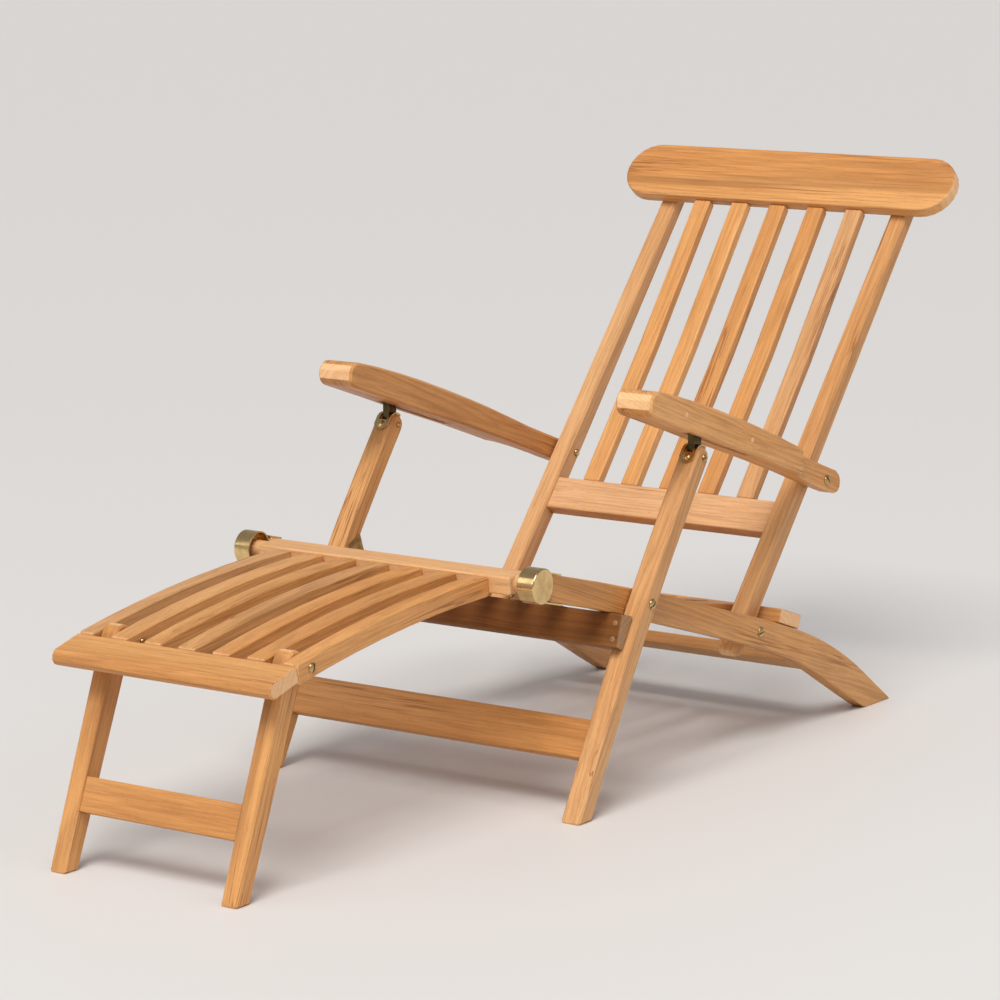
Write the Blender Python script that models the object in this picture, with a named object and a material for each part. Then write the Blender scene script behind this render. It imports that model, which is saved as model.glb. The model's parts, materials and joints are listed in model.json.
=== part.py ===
import bpy
import bmesh
from math import atan2, cos, hypot, pi, radians, sin
from mathutils import Vector

# Folding teak deck chair with brass fittings.
# The sitter faces -Y, X is the width, Z is up, sizes in metres.

GAP = 0.0003
BORE = 0.0043
SHANK = 0.0035
ROUND = 16

# side to side layout, one half of the chair
STILE_X = (0.2065, 0.2370)
RAIL_X = (0.2380, 0.2640)
PLATE_X = (0.2642, 0.2652)
LEG_X = (0.2655, 0.2980)
ARM_X = (0.2405, 0.3035)
TONGUE_OUT = 0.2705
SLOT_X = (0.2742, 0.2888)
HOOK_X = (0.2755, 0.2875)
FOOT_RAIL_X = (0.1645, 0.1905)
FOOT_LEG_X = (0.1362, 0.1636)
SLAT_W = 0.0310
SLAT_PITCH = 0.0595
BACK_SLAT_W = 0.0310
BACK_SLAT_PITCH = 0.0732
HOUSING = 0.008

# pivot axes along X, as (y, z)
LEG_PIVOT = (-0.0570, 0.2940)
BACK_PIVOT = (0.3140, 0.1845)
ARM_PIVOT = (0.5030, 0.3995)
HOOK_PIVOT = (0.0830, 0.4930)
FOOT_HINGE = (-0.3000, 0.3560)
FOOT_LEG_PIVOT = (-0.7350, 0.3070)

# half the difference between the front and rear reach, taken off at the end
MID_Y = 0.0038

BACK_LEAN = radians(40.05)
FOOT_LEG_LEAN = radians(21.1)

TEAK = (0.62, 0.36, 0.16)
BRASS = (0.72, 0.55, 0.26)

RAW = {}


def clear_scene():
    for item in list(bpy.data.objects):
        bpy.data.objects.remove(item, do_unlink=True)


def material(name, colour, roughness, metallic):
    found = bpy.data.materials.get(name)
    if found:
        return found
    made = bpy.data.materials.new(name)
    made.use_nodes = True
    shader = made.node_tree.nodes["Principled BSDF"]
    shader.inputs["Base Color"].default_value = (*colour, 1.0)
    shader.inputs["Roughness"].default_value = roughness
    shader.inputs["Metallic"].default_value = metallic
    made.diffuse_color = (*colour, 1.0)
    return made


def teak(name):
    return material(name, TEAK, 0.5, 0.0)


def brass(name):
    return material(name, BRASS, 0.3, 1.0)


def put(name, bm, surface, pivot=(0.0, 0.0), bevel=0.0, steps=1):
    """Turns a closed shape in world coordinates into an object whose origin is its axis."""
    bmesh.ops.recalc_face_normals(bm, faces=bm.faces)
    bmesh.ops.translate(bm, verts=bm.verts, vec=(0.0, -pivot[0], -pivot[1]))
    weight = bm.edges.layers.float.new("bevel_weight_edge")
    for edge in bm.edges:
        if edge.is_convex and edge.calc_face_angle(0.0) > radians(38):
            edge[weight] = 1.0
    mesh = bpy.data.meshes.new(name)
    bm.to_mesh(mesh)
    bm.free()
    mesh.materials.append(surface)
    item = bpy.data.objects.new(name, mesh)
    item.location = (0.0, pivot[0], pivot[1])
    bpy.context.scene.collection.objects.link(item)
    RAW[name] = mesh.copy()
    if bevel:
        ease = item.modifiers.new("eased", "BEVEL")
        ease.width = bevel
        ease.segments = steps
        ease.limit_method = "WEIGHT"
        bake(item)
    return item


def bake(item):
    graph = bpy.context.evaluated_depsgraph_get()
    mesh = bpy.data.meshes.new_from_object(item.evaluated_get(graph))
    item.modifiers.clear()
    item.data = mesh


def smooth(item, angle=32):
    item.data.shade_smooth()
    item.data.set_sharp_from_angle(angle=radians(angle))


def solid(outline, across, axes, origin=(0.0, 0.0, 0.0)):
    """A flat outline pushed along the third axis from across[0] to across[1]."""
    u, v, w = (Vector(a) for a in axes)
    base = Vector(origin)
    bm = bmesh.new()
    rings = []
    for depth in across:
        ring = [bm.verts.new(base + u * a + v * b + w * depth) for a, b in outline]
        rings.append(ring)
    bm.faces.new(rings[0])
    bm.faces.new(list(reversed(rings[1])))
    count = len(outline)
    for i in range(count):
        j = (i + 1) % count
        bm.faces.new((rings[0][i], rings[1][i], rings[1][j], rings[0][j]))
    return bm


SIDE_AXES = ((0, 1, 0), (0, 0, 1), (1, 0, 0))
PLAN_AXES = ((1, 0, 0), (0, 1, 0), (0, 0, 1))


def side_solid(outline, across):
    return solid(outline, across, SIDE_AXES)


def mirrored(across, side):
    return tuple(sorted((across[0] * side, across[1] * side)))


def turned(parts, origin_y=0.0, origin_z=0.0, side=1, count=ROUND):
    """Lathe about an X axis: parts are (x, radius) from one end to the other."""
    bm = bmesh.new()
    rings = []
    for x, radius in parts:
        if radius == 0.0:
            rings.append([bm.verts.new((x * side, origin_y, origin_z))])
            continue
        ring = []
        for i in range(count):
            turn = 2 * pi * (i + 0.5) / count
            place = (x * side, origin_y + radius * cos(turn), origin_z + radius * sin(turn))
            ring.append(bm.verts.new(place))
        rings.append(ring)
    for a, b in zip(rings, rings[1:]):
        if len(a) == 1 and len(b) == 1:
            continue
        for i in range(count):
            j = (i + 1) % count
            if len(a) == 1:
                bm.faces.new((a[0], b[i], b[j]))
            elif len(b) == 1:
                bm.faces.new((a[i], a[j], b[0]))
            else:
                bm.faces.new((a[i], a[j], b[j], b[i]))
    return bm


def merge(shapes):
    """Several separate shapes in one, none touching another."""
    total = bmesh.new()
    for shape in shapes:
        mesh = bpy.data.meshes.new("piece")
        shape.to_mesh(mesh)
        shape.free()
        total.from_mesh(mesh)
        bpy.data.meshes.remove(mesh)
    return total


def combine(item, shape, operation):
    bmesh.ops.recalc_face_normals(shape, faces=shape.faces)
    mesh = bpy.data.meshes.new("tool")
    shape.to_mesh(mesh)
    shape.free()
    tool = bpy.data.objects.new("tool", mesh)
    tool.hide_render = True
    tool.display_type = "WIRE"
    bpy.context.scene.collection.objects.link(tool)
    step = item.modifiers.new("step", "BOOLEAN")
    step.operation = operation
    step.solver = "EXACT"
    step.object = tool
    bpy.context.view_layer.update()
    bake(item)
    bpy.data.objects.remove(tool, do_unlink=True)


def cut(item, shape):
    combine(item, shape, "DIFFERENCE")


def join(item, shape):
    combine(item, shape, "UNION")


def house(item, others, gap=GAP):
    """Cuts a fitting socket for every piece that enters this one."""
    shapes = []
    for other in others:
        bm = bmesh.new()
        bm.from_mesh(RAW[other.name])
        bmesh.ops.recalc_face_normals(bm, faces=bm.faces)
        bm.normal_update()
        moves = [(v, v.normal * v.calc_shell_factor() * gap) for v in bm.verts]
        for vert, move in moves:
            vert.co += move
        bmesh.ops.translate(bm, verts=bm.verts, vec=other.location)
        shapes.append(bm)
    cut(item, merge(shapes))


def bore(item, pivot, across, radius=BORE):
    x0, x1 = across
    cut(item, turned([(x0, 0.0), (x0, radius), (x1, radius), (x1, 0.0)], pivot[0], pivot[1]))


def turn_about(point, pivot, angle):
    dy = point[0] - pivot[0]
    dz = point[1] - pivot[1]
    y = pivot[0] + dy * cos(angle) - dz * sin(angle)
    z = pivot[1] + dy * sin(angle) + dz * cos(angle)
    return (y, z)


def plank(centre, length, thick, lean):
    """Rectangular section: length along the lean direction, measured from +Y."""
    corners = []
    for a, b in ((-1, -1), (1, -1), (1, 1), (-1, 1)):
        place = (centre[0] + a * length / 2, centre[1] + b * thick / 2)
        corners.append(turn_about(place, centre, lean))
    return corners


def strip(line, half, tongue=(0.0, 0.0), tongue_half=0.005):
    """Outline of a bar along a centre line, with a thinner tongue at each end."""
    count = len(line)
    halves = half if isinstance(half, (list, tuple)) else [half] * count
    upper = []
    lower = []
    for i, (y, z) in enumerate(line):
        a = line[max(i - 1, 0)]
        b = line[min(i + 1, count - 1)]
        size = hypot(b[0] - a[0], b[1] - a[1])
        ny = -(b[1] - a[1]) / size
        nz = (b[0] - a[0]) / size
        upper.append((y + ny * halves[i], z + nz * halves[i]))
        lower.append((y - ny * halves[i], z - nz * halves[i]))
        if i in (0, count - 1) and tongue[0 if i == 0 else 1]:
            reach = tongue[0 if i == 0 else 1] * (-1 if i == 0 else 1)
            pair = []
            for sign in (1, -1):
                root = (y + sign * ny * tongue_half, z + sign * nz * tongue_half)
                tip = (root[0] + nz * reach, root[1] - ny * reach)
                pair.append((root, tip))
            if i == 0:
                head = [pair[1][0], pair[1][1], pair[0][1], pair[0][0]]
            else:
                tail = [pair[0][0], pair[0][1], pair[1][1], pair[1][0]]
    outline = list(head) if tongue[0] else []
    outline += upper
    outline += list(tail) if tongue[1] else []
    outline += list(reversed(lower))
    return outline


def arc_points(centre, radius, start, end, count):
    points = []
    for i in range(count):
        turn = radians(start + (end - start) * i / (count - 1))
        points.append((centre[0] + radius * cos(turn), centre[1] + radius * sin(turn)))
    return points


# ---------------------------------------------------------------- seat frame

RAIL_TOP = (
    (-0.2725, 0.3690), (-0.1400, 0.3360), (0.0000, 0.2985), (0.1100, 0.2665), (0.2100, 0.2370),
    (0.3070, 0.2085), (0.3700, 0.1890), (0.4300, 0.1690), (0.5000, 0.1415), (0.5660, 0.1100),
    (0.6250, 0.0760), (0.6900, 0.0330), (0.7390, 0.0000),
)
RAIL_UNDER = (
    (0.6550, 0.0000), (0.6010, 0.0280), (0.5350, 0.0635), (0.4710, 0.0980), (0.4190, 0.1220),
    (0.3460, 0.1485), (0.2680, 0.1735), (0.1800, 0.2005), (0.1000, 0.2240), (0.0000, 0.2535),
    (-0.1400, 0.2945), (-0.2725, 0.3280),
)


def eased(points, pieces=3):
    """The same run of points with a smooth curve drawn through them."""
    count = len(points)
    line = []
    for i in range(count - 1):
        a, b, c, d = (points[min(max(k, 0), count - 1)] for k in (i - 1, i, i + 1, i + 2))
        for j in range(pieces):
            t = j / pieces
            spot = []
            for k in (0, 1):
                square = (2 * a[k] - 5 * b[k] + 4 * c[k] - d[k]) * t * t
                cube = (3 * b[k] - a[k] - 3 * c[k] + d[k]) * t ** 3
                spot.append(0.5 * (2 * b[k] + (c[k] - a[k]) * t + square + cube))
            line.append(tuple(spot))
    return line + [points[-1]]


def rail_top(y):
    for a, b in zip(RAIL_TOP, RAIL_TOP[1:]):
        if a[0] <= y <= b[0]:
            return a[1] + (b[1] - a[1]) * (y - a[0]) / (b[0] - a[0])
    return RAIL_TOP[0][1]


SEAT_FRONT_Y = -0.2080
SEAT_REAR_Y = 0.3690
SEAT_SAG = 0.0110


def seat_line():
    """Centre line of a seat slat, dished between the two seat bars."""
    points = []
    start = (SEAT_FRONT_Y, rail_top(SEAT_FRONT_Y) - 0.0130)
    end = (SEAT_REAR_Y, 0.2020)
    for i in range(7):
        t = i / 6
        y = start[0] + (end[0] - start[0]) * t
        z = start[1] + (end[1] - start[1]) * t - SEAT_SAG * 4 * t * (1 - t)
        points.append((y, z))
    return points


def seat_rail(name, side):
    outline = list(RAIL_TOP[:7]) + eased(RAIL_TOP[7:]) + eased(RAIL_UNDER[:9]) + list(RAIL_UNDER[9:])
    block = side_solid(outline, mirrored(RAIL_X, side))
    item = put(name, block, teak("teak_seat_rail"), bevel=0.0016)
    for pivot in (LEG_PIVOT, BACK_PIVOT):
        bore(item, pivot, mirrored((0.2, 0.3), side))
    smooth(item)
    return item


def cross_piece(name, outline, reach, surface, bevel=0.0014, pivot=(0.0, 0.0)):
    return put(name, side_solid(outline, (-reach, reach)), teak(surface), pivot, bevel)


def seat_slats():
    items = []
    outline = strip(seat_line(), 0.0100, (0.0150, 0.0150))
    for i in range(7):
        x = (i - 3) * SLAT_PITCH
        across = (x - SLAT_W / 2, x + SLAT_W / 2)
        name = "seat_slat_%d" % (i + 1)
        item = put(name, side_solid(outline, across), teak("teak_seat_slat"), bevel=0.0015)
        smooth(item)
        items.append(item)
    return items


def seat_frame():
    left = seat_rail("seat_rail_left", 1)
    right = seat_rail("seat_rail_right", -1)
    slope = atan2(rail_top(-0.15) - rail_top(-0.25), 0.10)
    front_mid = (-0.2305, rail_top(-0.2305) - 0.0160)
    reach = RAIL_X[0] + HOUSING
    front_outline = plank(front_mid, 0.0450, 0.0240, slope)
    front = cross_piece("seat_front_bar", front_outline, reach, "teak_seat_bar")
    rear_slope = atan2(rail_top(0.43) - rail_top(0.37), 0.06)
    rear_mid = (0.4060, 0.1900)
    rear_outline = plank(rear_mid, 0.0640, 0.0225, rear_slope)
    rear = cross_piece("seat_rear_bar", rear_outline, RAIL_X[1], "teak_seat_bar")
    low_outline = plank((0.5165, 0.0983), 0.0450, 0.0200, radians(-27))
    low = cross_piece("rear_stretcher", low_outline, reach, "teak_stretcher")
    slats = seat_slats()
    house(front, slats)
    house(rear, slats)
    for rail in (left, right):
        house(rail, [front, low])


def wear_plate(name, side):
    """Thin brass plate between a seat rail and a front leg, its corner above the rail."""
    outline = [
        (-0.0800, 0.2860), (-0.0480, 0.3220), (-0.0190, 0.3350), (-0.0080, 0.3050), (-0.0230, 0.2710),
    ]
    item = put(name, side_solid(outline, mirrored(PLATE_X, side)), brass("brass_plate"))
    bore(item, LEG_PIVOT, mirrored((0.25, 0.28), side))
    return item


CUP_X = (0.2410, 0.2700)
CUP_R = 0.0260


def hinge_cup(name, side):
    """Round brass cup on a rail end, open toward the middle, with a strap above and below."""
    y, z = FOOT_HINGE
    x0, x1 = CUP_X
    wall = 0.0024
    profile = [
        (x0, CUP_R - wall), (x0, CUP_R), (x1 - 0.0025, CUP_R), (x1 - 0.0004, CUP_R - 0.0022), (x1, 0.0),
    ]
    inside = [(x1 - 0.0030, 0.0), (x1 - 0.0030, CUP_R - wall), (x0, CUP_R - wall)]
    bm = turned(profile + inside, y, z, side, 28)
    bmesh.ops.remove_doubles(bm, verts=bm.verts, dist=0.00001)
    item = put(name, bm, brass("brass_cup"))
    across = mirrored((RAIL_X[0] + 0.0035, RAIL_X[1] - 0.0005), side)
    edge = wall / 2
    top = [(-0.2800, z + 0.0160), (-0.2725, 0.3690 + edge + GAP), (-0.2460, rail_top(-0.2460) + edge + GAP)]
    join(item, side_solid(strip(top, edge), across))
    under = [(-0.2985, z - CUP_R + edge), (-0.2725, 0.3280 - edge - GAP), (-0.2460, 0.3213 - edge - GAP)]
    join(item, side_solid(strip(under, edge), across))
    smooth(item, 30)
    return item


# ---------------------------------------------------------------- front legs


def leg_line(z):
    return -0.2320 + 0.5205 * z + 0.2349 * z * z


LEG_HALF = 0.0163
SADDLE_GAP = 0.0008


def leg_outline():
    line = [(leg_line(z), z) for z in (0.0, 0.08, 0.16, 0.24, 0.294, 0.36, 0.43, HOOK_PIVOT[1])]
    shape = strip(line, LEG_HALF)
    count = len(line)
    upper = shape[:count]
    lower = shape[count:]
    run = atan2(line[-1][1] - line[-2][1], line[-1][0] - line[-2][0])
    start = run + pi / 2
    cap = []
    for i in range(1, 6):
        turn = start - pi * i / 6
        cap.append((line[-1][0] + LEG_HALF * cos(turn), line[-1][1] + LEG_HALF * sin(turn)))
    floor_back = (lower[-1][0] + lower[-1][1] * -0.5205, 0.0)
    floor_front = (upper[0][0] + upper[0][1] * -0.5205, 0.0)
    return [floor_front] + upper[1:] + cap + lower[:-1] + [floor_back]


def front_leg(name, side):
    across = mirrored(LEG_X, side)
    item = put(name, side_solid(leg_outline(), across), teak("teak_leg"), LEG_PIVOT, bevel=0.0034)
    bore(item, LEG_PIVOT, mirrored((0.2, 0.35), side))
    bore(item, HOOK_PIVOT, mirrored((0.2, 0.35), side), 0.0028)
    fork_mid = turn_about((HOOK_PIVOT[0] + 0.010, HOOK_PIVOT[1]), HOOK_PIVOT, radians(56))
    fork = plank(fork_mid, 0.0560, 0.0440, radians(56))
    cut(item, side_solid(fork, mirrored(SLOT_X, side)))
    smooth(item)
    return item


def leg_face(z):
    """Front of a front leg at height z, measured along Y."""
    return leg_line(z) - LEG_HALF / cos(atan2(0.5205 + 0.4698 * z, 1.0))


def board_outline():
    """Cross board under the rails; its back lies on the legs, its top just below the rails."""
    def under(y):
        return 0.2535 - 0.2929 * y - 2 * GAP

    back = leg_face(0.2770) - GAP
    return [
        (-0.1180, under(-0.1180)), (-0.1340, 0.2405), (leg_face(0.2330) - GAP, 0.2330), (back, under(back)),
    ]


def front_leg_frame():
    left = front_leg("front_leg_left", 1)
    right = front_leg("front_leg_right", -1)
    cross_piece("upper_cross_board", board_outline(), 0.2860, "teak_board", pivot=LEG_PIVOT)
    mid = leg_line(0.1065) + 0.0005
    lean = atan2(1.0, 0.5205 + 0.4698 * 0.1065)
    low_outline = plank((mid, 0.1065), 0.0600, 0.0180, lean)
    low = cross_piece("front_stretcher", low_outline, LEG_X[0] + HOUSING, "teak_stretcher", pivot=LEG_PIVOT)
    for leg in (left, right):
        house(leg, [low])


# ---------------------------------------------------------------- hooks and saddles


def saddle(name, side):
    """Brass strap over the front of a leg top, split where the hook comes through."""
    run = atan2(HOOK_PIVOT[1] - 0.43, leg_line(HOOK_PIVOT[1]) - leg_line(0.43))
    edge = 0.0012
    radius = LEG_HALF + edge + SADDLE_GAP
    base_y, base_z = leg_line(HOOK_PIVOT[1]), HOOK_PIVOT[1]
    line = []
    back = (cos(run), sin(run))
    normal = (cos(run + pi / 2), sin(run + pi / 2))
    for down in (0.0200, 0.0):
        y = base_y + normal[0] * radius - back[0] * down
        z = base_z + normal[1] * radius - back[1] * down
        line.append((y, z))
    for i in range(1, 5):
        turn = run + pi / 2 - radians(100) * i / 4
        line.append((base_y + radius * cos(turn), base_z + radius * sin(turn)))
    across = mirrored((LEG_X[0] + 0.0035, LEG_X[1] - 0.0035), side)
    item = put(name, side_solid(strip(line, edge), across), brass("brass_saddle"), LEG_PIVOT)
    centre = (base_y, base_z)
    gate = plank(turn_about((base_y + 0.0230, base_z), centre, run), 0.0500, 0.0700, run)
    cut(item, side_solid(gate, mirrored(SLOT_X, side)))
    out = Vector((0.0, normal[0], normal[1]))
    reach = LEG_HALF + SADDLE_GAP + 0.0023
    seat = (base_y + normal[0] * reach - back[0] * 0.0085, base_z + normal[1] * reach - back[1] * 0.0085)
    profile = [(-0.0006, 0.0), (-0.0006, 0.0058), (0.0004, 0.0058), (0.0020, 0.0034), (0.0026, 0.0)]
    head = turned(profile, count=12)
    lie = Vector((1, 0, 0)).rotation_difference(out).to_matrix()
    middle = Vector(((LEG_X[0] + LEG_X[1]) / 2 * side, seat[0], seat[1]))
    for vert in head.verts:
        vert.co = lie @ vert.co + middle
    join(item, head)
    smooth(item, 40)
    return item


def hook(name, side):
    """Flat brass hook turning in the leg top; its head sits in the slot under the arm."""
    y, z = HOOK_PIVOT
    outline = arc_points(HOOK_PIVOT, 0.0100, 200, 340, 6)
    outline += [(y + 0.0105, z + 0.0080), (y + 0.0100, z + 0.0380), (y + 0.0070, z + 0.0425)]
    outline += [(y - 0.0060, z + 0.0425), (y - 0.0095, z + 0.0380), (y - 0.0100, z + 0.0080)]
    block = side_solid(outline, mirrored(HOOK_X, side))
    item = put(name, block, brass("brass_hook"), HOOK_PIVOT, bevel=0.0006)
    bore(item, HOOK_PIVOT, mirrored((0.26, 0.30), side), 0.0028)
    smooth(item, 40)
    return item


# ---------------------------------------------------------------- arms

ARM_TOP = (
    (-0.0480, 0.6075), (0.0000, 0.5960), (0.0600, 0.5790), (0.1200, 0.5605), (0.1800, 0.5405),
    (0.2400, 0.5195), (0.3000, 0.4975), (0.3600, 0.4740), (0.4200, 0.4500), (0.4900, 0.4250),
    (0.5320, 0.4105), (0.5440, 0.4000),
)
ARM_UNDER = (
    (0.5460, 0.3860), (0.5400, 0.3765), (0.5260, 0.3750), (0.4800, 0.3905), (0.4200, 0.4120),
    (0.3600, 0.4335), (0.2400, 0.4735), (0.1200, 0.5110), (0.0500, 0.5345), (-0.0600, 0.5700),
)
ARM_NOSE = ((-0.0690, 0.5745), (-0.0730, 0.5830), (-0.0720, 0.5960), (-0.0660, 0.6045), (-0.0580, 0.6080))
SLOT_Y = (0.0560, 0.2420)
SLOT_DEPTH = 0.0250


def arm_under(y):
    for a, b in zip(ARM_UNDER, ARM_UNDER[1:]):
        if b[0] <= y <= a[0]:
            return b[1] + (a[1] - b[1]) * (y - b[0]) / (a[0] - b[0])
    return ARM_UNDER[-1][1]


ARM_RUN = atan2(arm_under(SLOT_Y[1]) - arm_under(SLOT_Y[0]), SLOT_Y[1] - SLOT_Y[0])


def slot_outline():
    """Long recess measured up from the underside of an arm."""
    rise = (-sin(ARM_RUN) * SLOT_DEPTH, cos(ARM_RUN) * SLOT_DEPTH)
    foot = (-sin(ARM_RUN) * 0.0200, cos(ARM_RUN) * 0.0200)
    a = (SLOT_Y[0], arm_under(SLOT_Y[0]))
    b = (SLOT_Y[1], arm_under(SLOT_Y[1]))
    return [
        (a[0] - foot[0], a[1] - foot[1]), (b[0] - foot[0], b[1] - foot[1]),
        (b[0] + rise[0], b[1] + rise[1]), (a[0] + rise[0], a[1] + rise[1]),
    ]


def arm(name, side):
    outline = list(ARM_TOP) + list(ARM_UNDER) + list(ARM_NOSE)
    block = side_solid(outline, mirrored(ARM_X, side))
    item = put(name, block, teak("teak_arm"), ARM_PIVOT, bevel=0.0035)
    step = [(0.3300, 0.3700), (0.3030, 0.3700), (0.2920, 0.3760), (0.2820, 0.3900), (0.2750, 0.4130),
            (TONGUE_OUT, 0.4550), (TONGUE_OUT, 0.5700), (0.3300, 0.5700)]
    step = [(x * side, y) for x, y in step]
    cut(item, solid(step, (0.3, 0.6), PLAN_AXES))
    cut(item, side_solid(slot_outline(), mirrored(SLOT_X, side)))
    bore(item, ARM_PIVOT, mirrored((0.2, 0.35), side))
    smooth(item)
    return item


RACK_NOTCHES = 4
RACK_PITCH = 0.0350


def arm_rack(name, side):
    """Brass rack in the roof of the arm slot, with a notch for every back position."""
    along = (cos(ARM_RUN), sin(ARM_RUN))
    up = (-sin(ARM_RUN), cos(ARM_RUN))
    y0 = SLOT_Y[0] + 0.0020
    base = (y0 + up[0] * (SLOT_DEPTH - 0.0004), arm_under(y0) + up[1] * (SLOT_DEPTH - 0.0004))

    def place(run, drop):
        return (base[0] + along[0] * run - up[0] * drop, base[1] + along[1] * run - up[1] * drop)

    length = 0.1500
    outline = [place(0.0, 0.0), place(0.0, 0.0070)]
    for i in range(RACK_NOTCHES):
        start = 0.0120 + i * RACK_PITCH
        outline += [place(start, 0.0070), place(start + 0.0020, 0.0025)]
        outline += [place(start + 0.0170, 0.0025), place(start + 0.0190, 0.0070)]
    outline += [place(length, 0.0070), place(length, 0.0)]
    across = mirrored((SLOT_X[0] + 0.0005, SLOT_X[1] - 0.0005), side)
    return put(name, side_solid(outline, across), brass("brass_rack"), ARM_PIVOT)


# ---------------------------------------------------------------- back

ALONG = (sin(BACK_LEAN), cos(BACK_LEAN))
ACROSS = (cos(BACK_LEAN), -sin(BACK_LEAN))
HEAD_FROM = 0.7830
HEAD_TALL = 0.1050
HEAD_HALF_LONG = 0.3145
HEAD_FACE = (-0.0345, -0.0120)
LOW_BAR_AT = 0.1995
BACK_SLAT_HALF = 0.0085


def on_back(s, n=0.0):
    """Point at distance s up the back from its pivot, n behind the centre line."""
    y = BACK_PIVOT[0] + ALONG[0] * s + ACROSS[0] * n
    z = BACK_PIVOT[1] + ALONG[1] * s + ACROSS[1] * n
    return (y, z)


def back_stile(name, side):
    top = HEAD_FROM + 0.0780
    outline = [on_back(-0.0300, 0.0175), on_back(0.2860, 0.0175), on_back(top, 0.0125)]
    outline += [on_back(top, -0.0112), on_back(HEAD_FROM, -0.0115), on_back(0.2860, -0.0165)]
    outline += [on_back(-0.0300, -0.0165), on_back(-0.0385, -0.0135), on_back(-0.0440, -0.0080)]
    outline += [on_back(-0.0465, -0.0010), on_back(-0.0450, 0.0070), on_back(-0.0395, 0.0140)]
    block = side_solid(outline, mirrored(STILE_X, side))
    item = put(name, block, teak("teak_stile"), BACK_PIVOT, bevel=0.0030)
    for pivot in (BACK_PIVOT, ARM_PIVOT):
        bore(item, pivot, mirrored((0.19, 0.25), side))
    smooth(item)
    return item


def headboard():
    """Rounded board across the top of the back."""
    half = HEAD_TALL / 2
    straight = HEAD_HALF_LONG - half
    outline = arc_points((straight, 0.0), half, -90, 90, 13) + arc_points((-straight, 0.0), half, 90, 270, 13)
    mid = on_back(HEAD_FROM + half)
    axes = ((1, 0, 0), (0, ALONG[0], ALONG[1]), (0, ACROSS[0], ACROSS[1]))
    item = put("headboard", solid(outline, HEAD_FACE, axes, (0.0, mid[0], mid[1])), teak("teak_headboard"),
               BACK_PIVOT, bevel=0.0032, steps=2)
    smooth(item)
    return item


def back_slats():
    items = []
    line = [on_back(LOW_BAR_AT + 0.0295), on_back(0.5, -0.0040), on_back(HEAD_FROM - GAP, -0.0185)]
    outline = strip(line, BACK_SLAT_HALF, (0.0150, 0.0150), 0.0045)
    for i in range(5):
        x = (i - 2) * BACK_SLAT_PITCH
        across = (x - BACK_SLAT_W / 2, x + BACK_SLAT_W / 2)
        name = "back_slat_%d" % (i + 1)
        items.append(put(name, side_solid(outline, across), teak("teak_back_slat"), BACK_PIVOT, bevel=0.0018))
        smooth(items[-1])
    return items


def backrest():
    left = back_stile("back_stile_left", 1)
    right = back_stile("back_stile_right", -1)
    head = headboard()
    lean = pi / 2 - BACK_LEAN
    bar_outline = plank(on_back(LOW_BAR_AT, 0.0015), 0.0580, 0.0230, lean)
    bar = cross_piece("back_lower_bar", bar_outline, STILE_X[0] + HOUSING, "teak_back_bar", pivot=BACK_PIVOT)
    slats = back_slats()
    house(head, slats)
    house(bar, slats)
    for stile in (left, right):
        house(stile, [bar])


# ---------------------------------------------------------------- footrest

FOOT_FRONT_Y = -0.7640
FOOT_REAR_Y = -0.3225


def foot_top(y):
    """Height of the curved top of the footrest slats."""
    t = (y + 0.5325) / 0.2400
    return 0.3525 + 0.0255 * t - 0.0120 * t * t


def foot_bar_line(half):
    points = []
    count = 8
    for i in range(count):
        y = FOOT_FRONT_Y + (FOOT_REAR_Y - FOOT_FRONT_Y) * i / (count - 1)
        points.append((y, foot_top(y) - half))
    return points


def foot_strip(name, across, half, surface):
    outline = strip(foot_bar_line(half), half, (0.0140, 0.0140), 0.0045)
    item = put(name, side_solid(outline, across), teak(surface), FOOT_HINGE, bevel=0.0020)
    smooth(item)
    return item


def foot_front_bar():
    slope = 0.2750
    mid = (-0.7945, 0.2951)
    corners = plank(mid, 0.0600, 0.0240, slope)
    nose = []
    for run, up in ((-0.0300, 0.0060), (-0.0322, 0.0000), (-0.0300, -0.0070), (-0.0240, -0.0120)):
        nose.append(turn_about((mid[0] + run, mid[1] + up), mid, slope))
    tip = turn_about((mid[0] - 0.0240, mid[1] + 0.0120), mid, slope)
    outline = [corners[2], tip] + nose + [corners[1]]
    item = cross_piece("footrest_front_bar", outline, FOOT_RAIL_X[1], "teak_foot_bar", 0.0020, FOOT_HINGE)
    smooth(item)
    return item


def foot_rear_bar():
    """Bar behind the slats, a round tenon on each end turning in the brass cups."""
    outline = plank((-0.3010, 0.3560), 0.0420, 0.0270, radians(5))
    item = cross_piece("footrest_rear_bar", outline, 0.2260, "teak_foot_bar", 0.0025, FOOT_HINGE)
    for side in (1, -1):
        pin = [(0.2150, 0.0), (0.2150, 0.0130), (0.2620, 0.0130), (0.2620, 0.0)]
        join(item, turned(pin, FOOT_HINGE[0], FOOT_HINGE[1], side, 20))
    smooth(item)
    return item


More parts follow.
